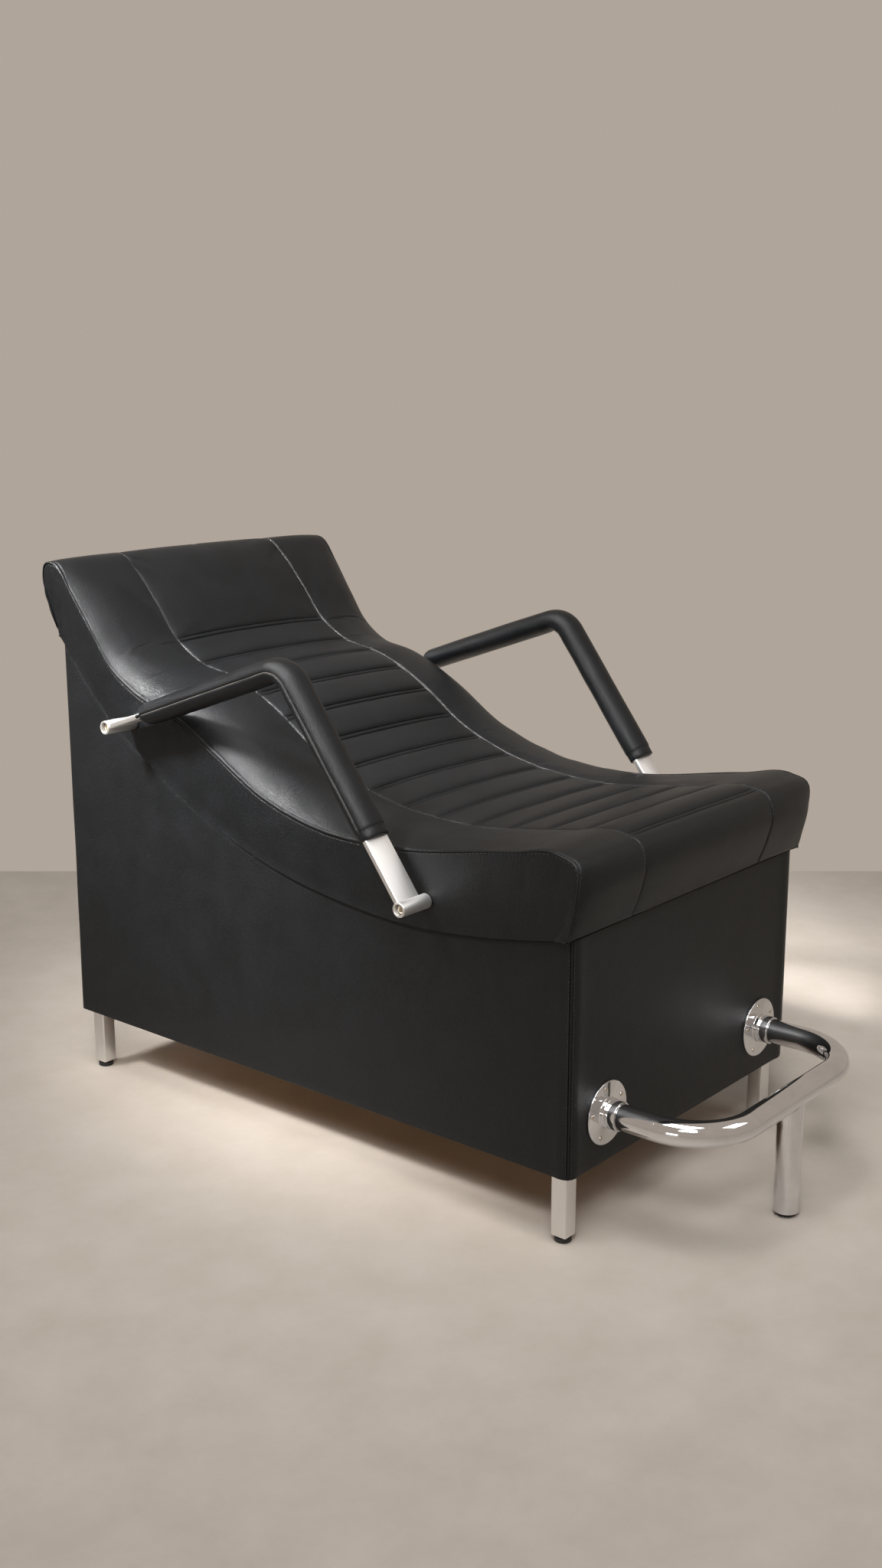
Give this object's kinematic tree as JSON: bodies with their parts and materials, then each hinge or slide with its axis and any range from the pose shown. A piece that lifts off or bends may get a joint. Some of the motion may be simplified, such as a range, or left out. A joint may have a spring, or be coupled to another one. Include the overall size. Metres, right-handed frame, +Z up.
{
  "type": "shampoo lounge chair",
  "caption": "Salon shampoo lounge: contoured padded seat with sewn channels on a covered box, bent padded armrests, square legs with levelling feet and a chrome tube footrest.",
  "frame": {"origin": "middle of the part's bounding box, on the floor", "axes": "+Z up, foot end towards -Y, head end towards +Y, +X to the right seen from the front"},
  "size_m": [0.734, 1.2722, 0.8978],
  "materials": {
    "seat_leather": "satin, fine grain",
    "box_leather": "satin, fine grain",
    "sleeve_leather": "satin, fine grain",
    "plywood": "raw plywood",
    "timber": "sawn timber",
    "satin_steel": "satin",
    "satin_aluminium": "satin",
    "nickel_steel": "bright nickel",
    "chrome": "polished",
    "plug_plastic": "moulded",
    "foot_plastic": "moulded"
  },
  "bodies": {
    "chair": {"arm_bar_left": "satin_steel", "arm_bar_right": "satin_steel", "arm_insert_front_left": "nickel_steel", "arm_insert_front_right": "nickel_steel", "arm_insert_rear_left": "nickel_steel", "arm_insert_rear_right": "nickel_steel", "arm_screw_front_left": "nickel_steel", "arm_screw_front_right": "nickel_steel", "arm_screw_rear_left": "nickel_steel", "arm_screw_rear_right": "nickel_steel", "arm_sleeve_left": "sleeve_leather", "arm_sleeve_right": "sleeve_leather", "box_cover": "box_leather", "bulkhead": "plywood", "corner_post_front_left": "timber", "corner_post_front_right": "timber", "corner_post_rear_left": "timber", "corner_post_rear_right": "timber", "floor_board": "plywood", "footrest_bar": "chrome", "footrest_flange_left": "chrome", "footrest_flange_right": "chrome", "footrest_plug": "plug_plastic", "footrest_post": "chrome", "front_board": "plywood", "leg_front_left": "satin_aluminium", "leg_front_right": "satin_aluminium", "leg_plug_front_left": "plug_plastic", "leg_plug_front_right": "plug_plastic", "leg_plug_rear_left": "plug_plastic", "leg_plug_rear_right": "plug_plastic", "leg_rear_left": "satin_aluminium", "leg_rear_right": "satin_aluminium", "rear_board": "plywood", "seat_cushion": "seat_leather", "seat_deck": "plywood", "seat_rail_left": "plywood", "seat_rail_right": "plywood", "seat_rib_1": "timber", "seat_rib_2": "timber", "seat_rib_3": "timber", "side_board_left": "plywood", "side_board_right": "plywood"},
    "foot_front_left": {"levelling_foot_front_left": "foot_plastic"},
    "foot_front_right": {"levelling_foot_front_right": "foot_plastic"},
    "foot_rear_left": {"levelling_foot_rear_left": "foot_plastic"},
    "foot_rear_right": {"levelling_foot_rear_right": "foot_plastic"},
    "foot_post": {"footrest_foot": "foot_plastic"}
  },
  "joints": [
    {"name": "level_front_left", "type": "slide", "parent": "chair", "child": "foot_front_left", "axis": [0, 0, 1], "range_m": [-0.015, 0.002]},
    {"name": "level_front_right", "type": "slide", "parent": "chair", "child": "foot_front_right", "axis": [0, 0, 1], "range_m": [-0.015, 0.002]},
    {"name": "level_rear_left", "type": "slide", "parent": "chair", "child": "foot_rear_left", "axis": [0, 0, 1], "range_m": [-0.015, 0.002]},
    {"name": "level_rear_right", "type": "slide", "parent": "chair", "child": "foot_rear_right", "axis": [0, 0, 1], "range_m": [-0.015, 0.002]},
    {"name": "level_post", "type": "slide", "parent": "chair", "child": "foot_post", "axis": [0, 0, 1], "range_m": [-0.015, 0]}
  ]
}
